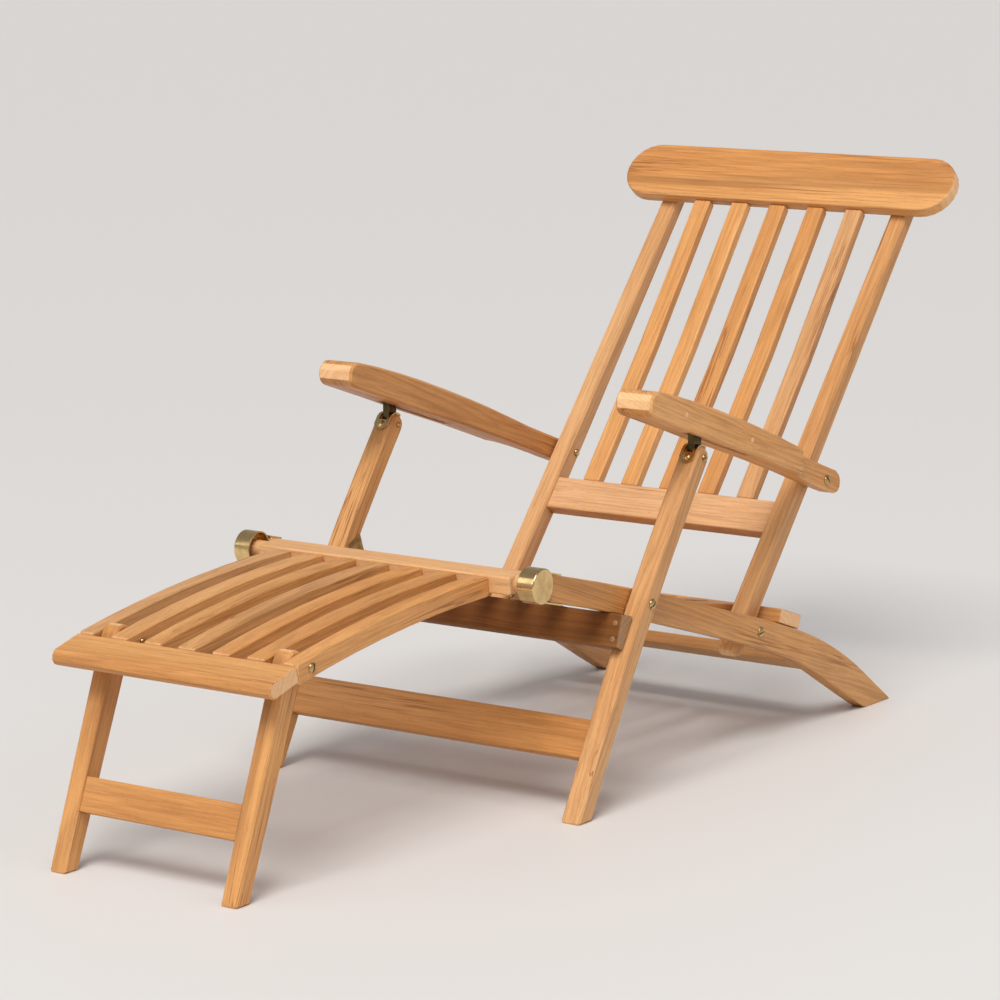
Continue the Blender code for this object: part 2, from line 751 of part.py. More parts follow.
def footrest():
    sides = []
    for name, side in (("footrest_rail_left", 1), ("footrest_rail_right", -1)):
        item = foot_strip(name, mirrored(FOOT_RAIL_X, side), 0.0148, "teak_foot_rail")
        shoulder = plank((FOOT_FRONT_Y - 0.0200, 0.3100), 0.0394, 0.0900, 0.0)
        cut(item, side_solid(shoulder, mirrored((FOOT_RAIL_X[1] - 0.0070, 0.2000), side)))
        RAW[name] = item.data.copy()
        bore(item, FOOT_LEG_PIVOT, mirrored((0.15, 0.2), side))
        sides.append(item)
    slats = []
    for i in range(5):
        x = (i - 2) * SLAT_PITCH
        across = (x - SLAT_W / 2, x + SLAT_W / 2)
        item = foot_strip("footrest_slat_%d" % (i + 1), across, 0.0140, "teak_foot_slat")
        if i in (0, 4):
            bore(item, FOOT_LEG_PIVOT, (x - 0.03, x + 0.03))
        slats.append(item)
    front = foot_front_bar()
    rear = foot_rear_bar()
    for bar in (front, rear):
        house(bar, slats + sides)


def foot_leg(name, side):
    half = 0.0196
    outline = []
    for n, sign in ((-half, -1), (half, 1)):
        drop = FOOT_LEG_PIVOT[1] + sign * half * sin(FOOT_LEG_LEAN)
        y = FOOT_LEG_PIVOT[0] + n * cos(FOOT_LEG_LEAN) - drop * sin(FOOT_LEG_LEAN) / cos(FOOT_LEG_LEAN)
        outline.append((y, 0.0))
    for i in range(9):
        turn = pi * i / 8 - FOOT_LEG_LEAN
        outline.append((FOOT_LEG_PIVOT[0] + half * cos(turn), FOOT_LEG_PIVOT[1] + half * sin(turn)))
    block = side_solid(outline, mirrored(FOOT_LEG_X, side))
    item = put(name, block, teak("teak_foot_leg"), FOOT_LEG_PIVOT, bevel=0.0030)
    bore(item, FOOT_LEG_PIVOT, mirrored((0.12, 0.18), side))
    smooth(item)
    return item


def foot_leg_frame():
    legs = [foot_leg("footrest_leg_left", 1), foot_leg("footrest_leg_right", -1)]
    height = 0.1020
    y = FOOT_LEG_PIVOT[0] - (FOOT_LEG_PIVOT[1] - height) * sin(FOOT_LEG_LEAN) / cos(FOOT_LEG_LEAN) - 0.0030
    outline = plank((y, height), 0.0500, 0.0190, pi / 2 - FOOT_LEG_LEAN)
    reach = FOOT_LEG_X[0] + HOUSING
    bar = cross_piece("footrest_leg_stretcher", outline, reach, "teak_stretcher", pivot=FOOT_LEG_PIVOT)
    for leg in legs:
        house(leg, [bar])


# ---------------------------------------------------------------- brass bolts


def bolt(name, side, pivot, head_x, end_x, radius=0.0085, shank=SHANK):
    """Slotted dome outside, plain shank, low nut on the far side."""
    profile = [
        (head_x + 0.0042, 0.0), (head_x + 0.0035, radius * 0.55), (head_x + 0.0012, radius * 0.93),
        (head_x + GAP, radius), (head_x + GAP, shank),
        (end_x - GAP, shank), (end_x - GAP, radius * 0.8), (end_x - 0.0024, radius * 0.8),
        (end_x - 0.0048, 0.0),
    ]
    item = put(name, turned(profile, pivot[0], pivot[1], side, 12), brass("brass_bolt"), pivot)
    slot = plank(pivot, radius * 2.4, 0.0014, radians(52))
    cut(item, side_solid(slot, mirrored((head_x + 0.0026, head_x + 0.0060), side)))
    smooth(item, 40)
    return item


def fittings(word, side):
    bolt("leg_pivot_bolt_" + word, side, LEG_PIVOT, LEG_X[1], RAIL_X[0])
    bolt("back_pivot_bolt_" + word, side, BACK_PIVOT, RAIL_X[1], STILE_X[0])
    bolt("arm_pivot_bolt_" + word, side, ARM_PIVOT, TONGUE_OUT, STILE_X[0])
    inner = SLAT_PITCH * 2 - SLAT_W / 2
    bolt("footrest_leg_bolt_" + word, side, FOOT_LEG_PIVOT, FOOT_RAIL_X[1], inner, 0.0075)
    bolt("hook_pin_" + word, side, HOOK_PIVOT, LEG_X[1], LEG_X[0], 0.0055, 0.0022)


def build_chair():
    clear_scene()
    seat_frame()
    front_leg_frame()
    backrest()
    footrest()
    foot_leg_frame()
    for word, side in (("left", 1), ("right", -1)):
        wear_plate("wear_plate_" + word, side)
        hinge_cup("hinge_cup_" + word, side)
        saddle("saddle_" + word, side)
        hook("latch_hook_" + word, side)
        arm("arm_" + word, side)
        arm_rack("arm_rack_" + word, side)
        fittings(word, side)
    for item in bpy.data.objects:
        item.location.y -= MID_Y


build_chair()
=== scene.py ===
import json
import math
import random

import bmesh
import bpy
import numpy as np
from mathutils import Matrix, Vector


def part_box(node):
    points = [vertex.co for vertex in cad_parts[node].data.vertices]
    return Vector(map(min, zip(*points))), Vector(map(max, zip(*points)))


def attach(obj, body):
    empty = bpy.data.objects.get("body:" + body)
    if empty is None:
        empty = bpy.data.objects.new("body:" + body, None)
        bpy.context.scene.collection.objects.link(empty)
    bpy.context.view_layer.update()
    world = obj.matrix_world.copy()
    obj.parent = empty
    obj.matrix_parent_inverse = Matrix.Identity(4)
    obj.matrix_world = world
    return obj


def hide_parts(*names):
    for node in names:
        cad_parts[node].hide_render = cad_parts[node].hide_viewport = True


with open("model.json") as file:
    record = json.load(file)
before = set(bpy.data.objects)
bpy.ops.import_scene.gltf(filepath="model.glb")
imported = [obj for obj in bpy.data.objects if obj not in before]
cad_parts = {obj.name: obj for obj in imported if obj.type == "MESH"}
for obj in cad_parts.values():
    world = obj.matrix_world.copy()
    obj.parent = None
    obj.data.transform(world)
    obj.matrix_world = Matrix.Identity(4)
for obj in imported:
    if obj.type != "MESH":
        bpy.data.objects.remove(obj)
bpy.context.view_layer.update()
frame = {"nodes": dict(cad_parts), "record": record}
NODES = frame["nodes"]
RECORD = frame["record"]
BODY_OF = {name: body for body, names in RECORD["behaviour"]["bodies"].items() for name in names}
SLOT_OF = {part["node"]: part["material_slot"] for part in RECORD["subparts"]}
JOINT_AT = {joint["name"]: Vector(joint["pos_m"]) for joint in RECORD["behaviour"]["joints"]}
SIDES = (("left", 1), ("right", -1))
ORIGIN = Vector((0.0, 0.0, 0.0))
X_AXIS = Vector((1.0, 0.0, 0.0))

# ---------------------------------------------------------------- colours, linear

TEAK_LIGHT = (0.720, 0.375, 0.136)
TEAK_BASE = (0.590, 0.258, 0.073)
TEAK_DARK = (0.300, 0.102, 0.026)
TEAK_PORE = (0.200, 0.066, 0.018)
TEAK_END = (0.860, 0.540, 0.285)
BRASS_LIGHT = (0.790, 0.560, 0.260)
BRASS_DARK = (0.430, 0.270, 0.100)
FLOOR_PALE = (0.72, 0.70, 0.68)

# ---------------------------------------------------------------- the trees and the grain

PITH_AWAY = (0.05, 0.14)
PITH_TILT = 0.035
RINGS_PER_METRE = (92.0, 150.0)
RING_WAVER = 0.015
NEARLY_ALONG_X = 0.95
FIT_POINTS = 4000

# ---------------------------------------------------------------- sizes, metres

WOOD_EDGE = 0.0009
BRASS_EDGE = 0.0003
WORN_WOOD = 0.0022
WORN_BRASS = 0.0010

HEAD_TALL = 0.0033
HEAD_RIM = 0.0006
HEAD_FILL = 0.995
LARGE_HEAD = 0.006
SHANKS = {True: 0.0035, False: 0.0022}
SLOT_DEEP = 0.0034
SLOT_HALF = 0.0013
NUT_LONG = 0.0047
NUT_DOME = 0.0030
NUT_SIZE = 0.78
DOME_TURN = math.radians(84.0)

CUP_LONG = 0.0290
CUP_RADIUS = 0.0260
CUP_WALL = 0.0024
CUP_END = 0.0030
CUP_EDGE = 0.0020
STRAP_START = 0.0258

LEG_TOP_RUN = math.radians(53.6)
LEG_TOP_RADIUS = 0.0163
SADDLE_GAP = 0.0008
SADDLE_THICK = 0.0024
SADDLE_SHIFT = Vector((0.0, -0.0013, 0.0))
SADDLE_REACH = 0.0200
SADDLE_ROUND = 0.0115
SADDLE_TIP = 0.0009
SADDLE_WRAP = math.radians(100.0)
SADDLE_STEPS = 12
SLOT_WIDE = (0.2742, 0.2888)
SCREW_DOWN = 0.0100
SCREW_RADIUS = 0.0060
SCREW_TURN = math.radians(38.0)

ARM_PLUGS = ((0.0212, 0.5646), (0.2112, 0.5033))
BOARD_PLUGS = (0.2743, 0.2518)
BOARD_PLUG_IN = 0.010
PLUG_RADIUS = 0.0040
PLUG_DEEP = 0.0030
PLUG_PROUD = 0.0007

# ---------------------------------------------------------------- light and camera

SKY_LOW = (0.46, 0.46, 0.475, 1.0)
SKY_HIGH = (0.24, 0.24, 0.25, 1.0)
KEY_POWER = 2.75
KEY_ANGLE = math.radians(32.0)
KEY_COLOUR = (1.0, 0.985, 0.96)
KEY_AIM = Vector((-0.22, 0.58, -0.95))
LIGHT_TARGET = Vector((0.0, 0.1, 0.35))
LIGHT_SIZE = (2.4, 2.0)
SOFT_LIGHTS = (("glow", (-1.6, -3.4, 2.4), 18.0), ("side", (3.4, -0.8, 2.4), 17.0))
FLOOR_HALF = 30.0

CAMERA_AT = (3.14438, -4.57712, 1.37069)
CAMERA_YAW = math.radians(34.6181)
CAMERA_PITCH = math.radians(9.8086)
CAMERA_ROLL = math.radians(0.10)
CAMERA_LENS = 133.615
SENSOR_WIDE = 36.0


# ---------------------------------------------------------------- shader helpers


class Shader:
    """A small writer for one material's node tree."""

    def __init__(self, name):
        self.material = bpy.data.materials.new(name)
        self.material.use_nodes = True
        self.tree = self.material.node_tree
        self.tree.nodes.clear()
        self.output = self.tree.nodes.new("ShaderNodeOutputMaterial")
        self.surface = self.tree.nodes.new("ShaderNodeBsdfPrincipled")
        self.tree.links.new(self.surface.outputs[0], self.output.inputs[0])
        self.coords = self.tree.nodes.new("ShaderNodeTexCoord")

    def node(self, kind, inputs=None, **settings):
        item = self.tree.nodes.new(kind)
        for key, value in settings.items():
            setattr(item, key, value)
        for key, value in (inputs or {}).items():
            self.feed(item.inputs[key], value)
        return item

    def feed(self, socket, value):
        if isinstance(value, bpy.types.NodeSocket):
            self.tree.links.new(value, socket)
        elif isinstance(value, tuple) and len(value) == 3 and socket.type == "RGBA":
            socket.default_value = (*value, 1.0)
        else:
            socket.default_value = value

    def stretch(self, vector, scale, shift=(0.0, 0.0, 0.0)):
        item = self.node("ShaderNodeMapping", {"Vector": vector, "Location": shift, "Scale": scale})
        return item.outputs[0]

    def noise(self, vector, scale, detail, rough=0.55, distort=0.0):
        inputs = {"Vector": vector, "Scale": scale, "Detail": detail}
        inputs.update({"Roughness": rough, "Distortion": distort})
        return self.node("ShaderNodeTexNoise", inputs).outputs[0]

    def streaks(self, vector, along, across, detail, rough=0.55, distort=0.0, shift=(0.0, 0.0, 0.0)):
        """Noise drawn out along X: how fine it is along and across, per metre."""
        drawn = self.stretch(vector, (along, across, across), shift)
        return self.noise(drawn, 1.0, detail, rough, distort)

    def levels(self, value, low, high, out_low=0.0, out_high=1.0):
        inputs = {"Value": value, "From Min": low, "From Max": high, "To Min": out_low, "To Max": out_high}
        return self.node("ShaderNodeMapRange", inputs, interpolation_type="SMOOTHSTEP").outputs[0]

    def mix(self, factor, a, b):
        item = self.node("ShaderNodeMix", data_type="RGBA", blend_type="MIX")
        self.feed(item.inputs[0], factor)
        self.feed(item.inputs[6], a)
        self.feed(item.inputs[7], b)
        return item.outputs[2]

    def maths(self, operation, *values):
        item = self.node("ShaderNodeMath", operation=operation)
        for index, value in enumerate(values):
            self.feed(item.inputs[index], value)
        return item.outputs[0]

    def vector(self, operation, a, b):
        item = self.node("ShaderNodeVectorMath", operation=operation)
        self.feed(item.inputs[0], a)
        self.feed(item.inputs[1], b)
        return item

    def bump(self, height, distance, strength, normal=None):
        inputs = {"Height": height, "Distance": distance, "Strength": strength}
        if normal is not None:
            inputs["Normal"] = normal
        return self.node("ShaderNodeBump", inputs).outputs[0]

    def edge(self, radius):
        """1 along rounded edges, 0 on flats."""
        soft = self.node("ShaderNodeBevel", {"Radius": radius}, samples=4).outputs[0]
        flat = self.node("ShaderNodeNewGeometry").outputs["Normal"]
        meet = self.vector("DOT_PRODUCT", soft, flat).outputs["Value"]
        return self.levels(meet, 0.995, 0.90)


def scaled(colour, amount):
    return tuple(c * amount for c in colour)


# ---------------------------------------------------------------- teak


def grain_frame(points):
    """Rotation that takes the shared frame to one with X along the piece's grain, and that direction."""
    centred = points - points.mean(0)
    _, _, rows = np.linalg.svd(centred[:: max(1, len(centred) // FIT_POINTS)], full_matrices=False)
    along = Vector(rows[0])
    if abs(along.x) > NEARLY_ALONG_X:
        along = X_AXIS.copy()
    if along[max(range(3), key=lambda i: abs(along[i]))] < 0:
        along.negate()
    return along.rotation_difference(X_AXIS), along


def tinted(colour, tone, hue):
    """A teak colour made paler or darker by its tone, and leaned from orange (low hue) to pink (high hue)."""
    green = 1.0 + (0.20 if hue > 1.0 else 0.40) * (hue - 1.0)
    return tuple(c * (1.0 + tone) * k for c, k in zip(colour, (1.0, green, hue)))


def growth_rings(s, laid, base, rng):
    """Rings about a far, slightly tilted pith, wavering along the grain and unevenly spaced."""
    angle = rng.uniform(0.0, 2.0 * math.pi)
    away = rng.uniform(*PITH_AWAY)
    tilt = (0.0, rng.uniform(-PITH_TILT, PITH_TILT), rng.uniform(-PITH_TILT, PITH_TILT))
    pith = (0.0, away * math.cos(angle), away * math.sin(angle))
    about = s.node("ShaderNodeMapping", {"Vector": laid, "Location": pith, "Rotation": tilt}).outputs[0]
    waver = s.levels(s.streaks(base, 1.3, 7.0, 2.0, 0.5), 0.25, 0.75, -RING_WAVER, RING_WAVER)
    shove = s.node("ShaderNodeCombineXYZ", {"Y": waver, "Z": waver}).outputs[0]
    split = s.node("ShaderNodeSeparateXYZ", {"Vector": s.vector("ADD", about, shove).outputs[0]})
    squares = [s.maths("MULTIPLY", split.outputs[k], split.outputs[k]) for k in (1, 2)]
    spaced = s.maths("MULTIPLY", s.maths("SQRT", s.maths("ADD", *squares)), rng.uniform(*RINGS_PER_METRE))
    outward = s.node("ShaderNodeCombineXYZ", {"X": s.maths("MULTIPLY", spaced, 0.31)}).outputs[0]
    uneven = s.maths("MULTIPLY", s.noise(outward, 1.0, 1.0), 3.0)
    wave = s.maths("FRACT", s.maths("ADD", spaced, uneven))
    return s.maths("MULTIPLY", s.levels(wave, 0.15, 0.86), s.levels(wave, 1.0, 0.86))


def side_grain(s, base, ring, fibre, light, mid, dark, figure):
    """Colour of faces cut along the grain: broad changes, ring lines and fibres."""
    broad = s.streaks(base, 1.1, 13.0, 3.0, 0.5)
    colour = s.mix(s.levels(broad, 0.30, 0.70), light, mid)
    amount = s.maths("MULTIPLY", ring, s.levels(broad, 0.25, 0.75, 0.10 * figure, 0.50 * figure))
    colour = s.mix(amount, colour, dark)
    colour = s.mix(s.levels(fibre, 0.42, 0.70, 0.0, 0.46), colour, scaled(dark, 0.80))
    return s.mix(s.levels(fibre, 0.50, 0.30, 0.0, 0.40), colour, light)


def veined(s, base, colour, mid, streak):
    """The colour with thin brown veins that come and go along the grain, and broader brown bands."""
    vein = s.streaks(base, 1.5, 60.0, 3.0, 0.6, 0.5, (3.0, 1.0, 2.0))
    vein = s.levels(s.maths("ABSOLUTE", s.maths("SUBTRACT", vein, 0.5)), 0.022, 0.006)
    zone = s.streaks(base, 2.2, 18.0, 2.0, 0.5, 0.0, (1.0, 5.0, 2.0))
    zone = s.levels(zone, 0.60 - 0.22 * streak, 0.70 - 0.16 * streak, 0.0, 0.8)
    colour = s.mix(s.maths("MULTIPLY", vein, zone), colour, TEAK_DARK)
    band = s.streaks(base, 0.9, 26.0, 4.0, 0.6, 0.3, (2.0, 4.0, 1.0))
    band = s.levels(band, 0.66 - 0.16 * streak, 0.80 - 0.16 * streak, 0.0, 0.55 + 0.25 * streak)
    return s.mix(band, colour, scaled(mid, 0.62))


def end_grain(s, base, ring, colour, along, mid, tone):
    """The colour with paler, dotted end grain on faces cut across the grain."""
    facing = s.vector("DOT_PRODUCT", s.coords.outputs["Normal"], tuple(along)).outputs["Value"]
    ends = s.levels(s.maths("ABSOLUTE", facing), 0.66, 0.92)
    dots = s.streaks(base, 300.0, 900.0, 2.0, 0.5)
    cut = s.mix(s.levels(dots, 0.42, 0.70, 0.0, 0.50), scaled(TEAK_END, 1.0 + 0.8 * tone), mid)
    cut = s.mix(s.maths("MULTIPLY", ring, 0.28), cut, mid)
    return s.mix(s.maths("MULTIPLY", ends, 0.92), colour, cut)


def handled(s, base, colour, dark):
    """The colour with rubbed, paler edges and a little grime in patches."""
    patch = s.levels(s.noise(base, 38.0, 4.0, 0.6), 0.35, 0.65, 0.10, 0.55)
    colour = s.mix(s.maths("MULTIPLY", s.edge(WORN_WOOD), patch), colour, TEAK_LIGHT)
    soil = s.levels(s.noise(base, 9.0, 5.0, 0.6), 0.50, 0.78, 0.0, 0.22)
    return s.mix(soil, colour, dark)


def relief(s, base, ring, fibre, pore):
    """Normal with raised rings and fibres, sunk pores and slow waves along the grain."""
    height = s.maths("ADD", s.maths("MULTIPLY", fibre, 0.55), s.maths("MULTIPLY", pore, -0.8))
    height = s.maths("ADD", height, s.maths("MULTIPLY", ring, 0.35))
    normal = s.bump(height, 0.00025, 0.55)
    return s.bump(s.streaks(base, 5.0, 45.0, 2.0), 0.0010, 0.30, normal)


def teak(name, along, turn, tone, figure, streak, hue, seed):
    """Oiled teak with growth rings, fibres, pores, brown streaks, end grain and worn edges."""
    rng = random.Random(seed)
    s = Shader(name)
    spot = s.coords.outputs["Object"]
    laid = s.node("ShaderNodeMapping", {"Vector": spot, "Rotation": turn.to_euler("XYZ")}).outputs[0]
    base = s.stretch(laid, (1.0, 1.0, 1.0), tuple(rng.uniform(-3.0, 3.0) for _ in range(3)))
    ring = growth_rings(s, laid, base, rng)
    fibre = s.streaks(base, 10.0, 300.0, 5.0, 0.66)
    pore = s.levels(s.streaks(base, 85.0, 1500.0, 2.0, 0.5), 0.60, 0.72)
    pore = s.maths("MULTIPLY", pore, s.levels(ring, 0.1, 0.9, 0.45, 1.0))

    light, mid = tinted(TEAK_LIGHT, tone, hue), tinted(TEAK_BASE, tone, hue)
    dark = scaled(mid, 0.70)
    colour = side_grain(s, base, ring, fibre, light, mid, dark, figure)
    colour = veined(s, base, colour, mid, streak)
    colour = s.mix(s.maths("MULTIPLY", pore, 0.50), colour, TEAK_PORE)
    colour = end_grain(s, base, ring, colour, along, mid, tone)
    colour = handled(s, base, colour, dark)

    rough = s.levels(s.streaks(base, 3.0, 30.0, 3.0), 0.3, 0.7, 0.40, 0.56)
    s.feed(s.surface.inputs["Base Color"], colour)
    s.feed(s.surface.inputs["Roughness"], s.maths("ADD", rough, s.maths("MULTIPLY", pore, 0.12)))
    s.feed(s.surface.inputs["Normal"], relief(s, base, ring, fibre, pore))
    s.surface.inputs["Specular IOR Level"].default_value = 0.42
    return s.material


# ---------------------------------------------------------------- brass


def brass(name, rough, dull, deep, seed):
    """Cast and turned brass with handling marks, tarnish in patches and fine scratches."""
    rng = random.Random(seed)
    s = Shader(name)
    shift = tuple(rng.uniform(-2, 2) for _ in range(3))
    spot = s.stretch(s.coords.outputs["Object"], (1.0, 1.0, 1.0), shift)
    cloud = s.noise(spot, 60.0, 5.0, 0.6)
    speck = s.noise(spot, 900.0, 3.0, 0.6)
    scratch = s.noise(s.stretch(spot, (260.0, 2600.0, 900.0)), 1.0, 2.0, 0.6)
    # deep darkens the whole colour; on the latch hook and the bolts that darkening is painted shade and
    # painted dark reflection
    light, dark = scaled(BRASS_LIGHT, deep), scaled(BRASS_DARK, deep)
    colour = s.mix(s.levels(cloud, 0.35, 0.70, 0.0, dull), light, dark)
    colour = s.mix(s.levels(speck, 0.60, 0.75, 0.0, 0.45), colour, scaled(dark, 0.55))
    colour = s.mix(s.maths("MULTIPLY", s.edge(WORN_BRASS), 0.5), colour, light)
    shine = s.levels(cloud, 0.30, 0.72, rough[0], rough[1])
    shine = s.maths("ADD", shine, s.levels(scratch, 0.55, 0.75, 0.0, 0.12))
    height = s.maths("ADD", s.maths("MULTIPLY", scratch, 0.5), s.maths("MULTIPLY", speck, 0.25))
    s.feed(s.surface.inputs["Base Color"], colour)
    s.feed(s.surface.inputs["Roughness"], shine)
    s.feed(s.surface.inputs["Normal"], s.bump(height, 0.00008, 0.35))
    s.surface.inputs["Metallic"].default_value = 1.0
    return s.material


# ---------------------------------------------------------------- shaping


def welded(node):
    """The node's solid as a clean bmesh, its flat faces in one piece."""
    bm = bmesh.new()
    bm.from_mesh(NODES[node].data)
    bmesh.ops.remove_doubles(bm, verts=bm.verts, dist=0.00001)
    bmesh.ops.dissolve_limit(bm, angle_limit=math.radians(0.4), verts=bm.verts, edges=bm.edges)
    return bm


def placed(name, bm):
    """An object in the scene that holds the bmesh."""
    mesh = bpy.data.meshes.new(name)
    bm.to_mesh(mesh)
    bm.free()
    item = bpy.data.objects.new(name, mesh)
    bpy.context.scene.collection.objects.link(item)
    return item


def add_piece(name, bm, body, material, replaces=None):
    item = placed(name, bm)
    mesh = item.data
    mesh.materials.clear()
    mesh.materials.append(material)
    mesh.polygons.foreach_set("use_smooth", [True] * len(mesh.polygons))
    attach(item, body)
    if replaces:
        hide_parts(replaces)
    return item


def soften(item, width, angle):
    """Rounds the sharp edges and keeps the flats flat."""
    rounding = item.modifiers.new("Rounding", "BEVEL")
    rounding.width = width
    rounding.segments = 2
    rounding.limit_method = "ANGLE"
    rounding.angle_limit = math.radians(angle)
    rounding.use_clamp_overlap = True
    rounding.harden_normals = False
    shade = item.modifiers.new("Shading", "WEIGHTED_NORMAL")
    shade.mode = "FACE_AREA"
    shade.weight = 80
    shade.keep_sharp = False


def lathe(profile, centre, side, count=48):
    """Turned shape about an X axis: the profile holds (distance along X, radius)."""
    bm = bmesh.new()
    rings = []
    for x, radius in profile:
        if radius == 0.0:
            rings.append([bm.verts.new((x * side, centre.y, centre.z))])
            continue
        turns = [2.0 * math.pi * i / count for i in range(count)]
        spots = [(centre.y + radius * math.cos(a), centre.z + radius * math.sin(a)) for a in turns]
        rings.append([bm.verts.new((x * side, y, z)) for y, z in spots])
    for a, b in zip(rings, rings[1:]):
        for i in range(count if len(a) + len(b) > 2 else 0):
            j = (i + 1) % count
            corners = [a[i % len(a)], a[j % len(a)], b[j % len(b)], b[i % len(b)]]
            bm.faces.new(list(dict.fromkeys(corners)))
    bmesh.ops.recalc_face_normals(bm, faces=bm.faces)
    return bm


def block(low, high):
    bm = bmesh.new()
    bmesh.ops.create_cube(bm, size=1.0)
    low, high = Vector(low), Vector(high)
    for vert in bm.verts:
        vert.co = [(low[k] + high[k]) / 2 + vert.co[k] * (high[k] - low[k]) for k in range(3)]
    return bm


def turned_about(bm, centre, angle):
    spin = Matrix.Rotation(angle, 3, "X")
    bmesh.ops.rotate(bm, cent=centre, matrix=spin, verts=bm.verts)
    return bm


def carved(bm, cutter):
    """The first shape with the second cut out of it."""
    pair = [placed("blank", shape) for shape in (bm, cutter)]
    cut = pair[0].modifiers.new("Cut", "BOOLEAN")
    cut.operation = "DIFFERENCE"
    cut.solver = "EXACT"
    cut.object = pair[1]
    done = bmesh.new()
    done.from_object(pair[0], bpy.context.evaluated_depsgraph_get())
    for item in pair:
        bpy.data.objects.remove(item)
    return done


def both(bm, other):
    mesh = bpy.data.meshes.new("blank")
    other.to_mesh(mesh)
    other.free()
    bm.from_mesh(mesh)
    bpy.data.meshes.remove(mesh)
    return bm


def dome(tip, rim, radius, steps=7):
    """Profile of a domed head from its tip to its rim."""
    turns = [DOME_TURN * i / steps for i in range(steps + 1)]
    return [(rim + (tip - rim) * math.cos(a), radius * math.sin(a) / math.sin(DOME_TURN)) for a in turns]


# ---------------------------------------------------------------- fittings


def bolt_shape(node, centre, side, angle):
    """Domed slotted head outside, shank, and a cap nut on the inner end."""
    low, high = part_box(node)
    tip = max(low.x * side, high.x * side)
    end = min(low.x * side, high.x * side)
    radius = (high.z - low.z) / 2 * HEAD_FILL
    rim = tip - HEAD_TALL
    shank = SHANKS[radius > LARGE_HEAD]
    nut = radius * NUT_SIZE
    profile = dome(tip, rim, radius)
    profile += [(rim - HEAD_RIM, radius), (rim - HEAD_RIM, shank)]
    profile += [(end + NUT_LONG, shank), (end + NUT_LONG, nut)]
    profile += list(reversed(dome(end, end + NUT_DOME, nut)))
    shape = lathe(profile, centre, side)
    reach = radius * 1.2
    floor, above = sorted(((tip - SLOT_DEEP) * side, (tip + 0.0040) * side))
    corner = (floor, centre.y - reach, centre.z - SLOT_HALF)
    slot = block(corner, (above, centre.y + reach, centre.z + SLOT_HALF))
    return carved(shape, turned_about(slot, centre, math.radians(angle)))


def cup_shape(node, centre, side):
    """Open cup with a rolled lip, a soft outer edge and a faintly dished end face."""
    low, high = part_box(node)
    outer = max(low.x * side, high.x * side)
    lip = outer - CUP_LONG
    inner = CUP_RADIUS - CUP_WALL
    profile = [(outer - CUP_END, 0.0), (outer - CUP_END, inner), (lip + 0.0008, inner), (lip, inner + 0.0007)]
    profile += [(lip, CUP_RADIUS - 0.0006), (lip + 0.0007, CUP_RADIUS), (outer - CUP_WALL, CUP_RADIUS)]
    for i in range(1, 5):
        a = math.radians(90.0) * i / 4
        across = CUP_RADIUS - CUP_EDGE * (1.0 - math.cos(a))
        profile.append((outer - CUP_WALL + CUP_EDGE * math.sin(a), across))
    profile += [(outer - 0.0004, CUP_RADIUS - 0.0045), (outer - 0.0008, CUP_RADIUS - 0.0065)]
    profile.append((outer - 0.0008, 0.0))
    return lathe(profile, centre, side, 72)


def cup_straps(node, centre):
    """The two straps of the cup's casting, from its wall along the rail."""
    bm = welded(node)
    cut = (0.0, centre.y + STRAP_START, 0.0)
    parts = bm.verts[:] + bm.edges[:] + bm.faces[:]
    result = bmesh.ops.bisect_plane(bm, geom=parts, plane_co=cut, plane_no=(0, 1, 0), clear_inner=True)
    rim = [e for e in result["geom_cut"] if isinstance(e, bmesh.types.BMEdge)]
    bmesh.ops.contextual_create(bm, geom=rim)
    open_edges = [e for e in bm.edges if e.is_boundary]
    bmesh.ops.holes_fill(bm, edges=open_edges)
    return bm


def sheet_shape(path, across, half):
    """Thin plate swept along a path in the side plane: across gives its two X edges at each point."""
    bm = bmesh.new()
    rows = []
    for i, (y, z) in enumerate(path):
        a, b = path[max(i - 1, 0)], path[min(i + 1, len(path) - 1)]
        size = math.hypot(b[0] - a[0], b[1] - a[1])
        ny, nz = -(b[1] - a[1]) / size * half, (b[0] - a[0]) / size * half
        x0, x1 = across[i]
        corners = ((x0, y + ny, z + nz), (x1, y + ny, z + nz), (x1, y - ny, z - nz), (x0, y - ny, z - nz))
        rows.append([bm.verts.new(c) for c in corners])
    for a, b in zip(rows, rows[1:]):
        for k in range(4):
            bm.faces.new((a[k], a[(k + 1) % 4], b[(k + 1) % 4], b[k]))
    bm.faces.new(rows[0])
    bm.faces.new(rows[-1])
    bmesh.ops.recalc_face_normals(bm, faces=bm.faces)
    return bm


def saddle_outline(centre, normal, back, radius, edges):
    """Path of the saddle's strap and its X edges: a half round end, then round the leg's top."""
    middle, wide = sum(edges) / 2, (edges[1] - edges[0]) / 2
    spots, across = [], []
    for i in range(SADDLE_STEPS + 1):
        a = math.pi / 2 * i / SADDLE_STEPS
        down = SADDLE_REACH - SADDLE_ROUND * (1.0 - math.cos(a))
        spread = max(wide * math.sin(a), SADDLE_TIP)
        spots.append(centre + normal * radius - back * down)
        across.append((middle - spread, middle + spread))
    path = [(spot.y, spot.z) for spot in spots + [centre + normal * radius]]
    for i in range(1, SADDLE_STEPS + 1):
        a = LEG_TOP_RUN + math.pi / 2 - SADDLE_WRAP * i / SADDLE_STEPS
        path.append((centre.y + radius * math.cos(a), centre.z + radius * math.sin(a)))
    return path, across + [edges] * (SADDLE_STEPS + 1)


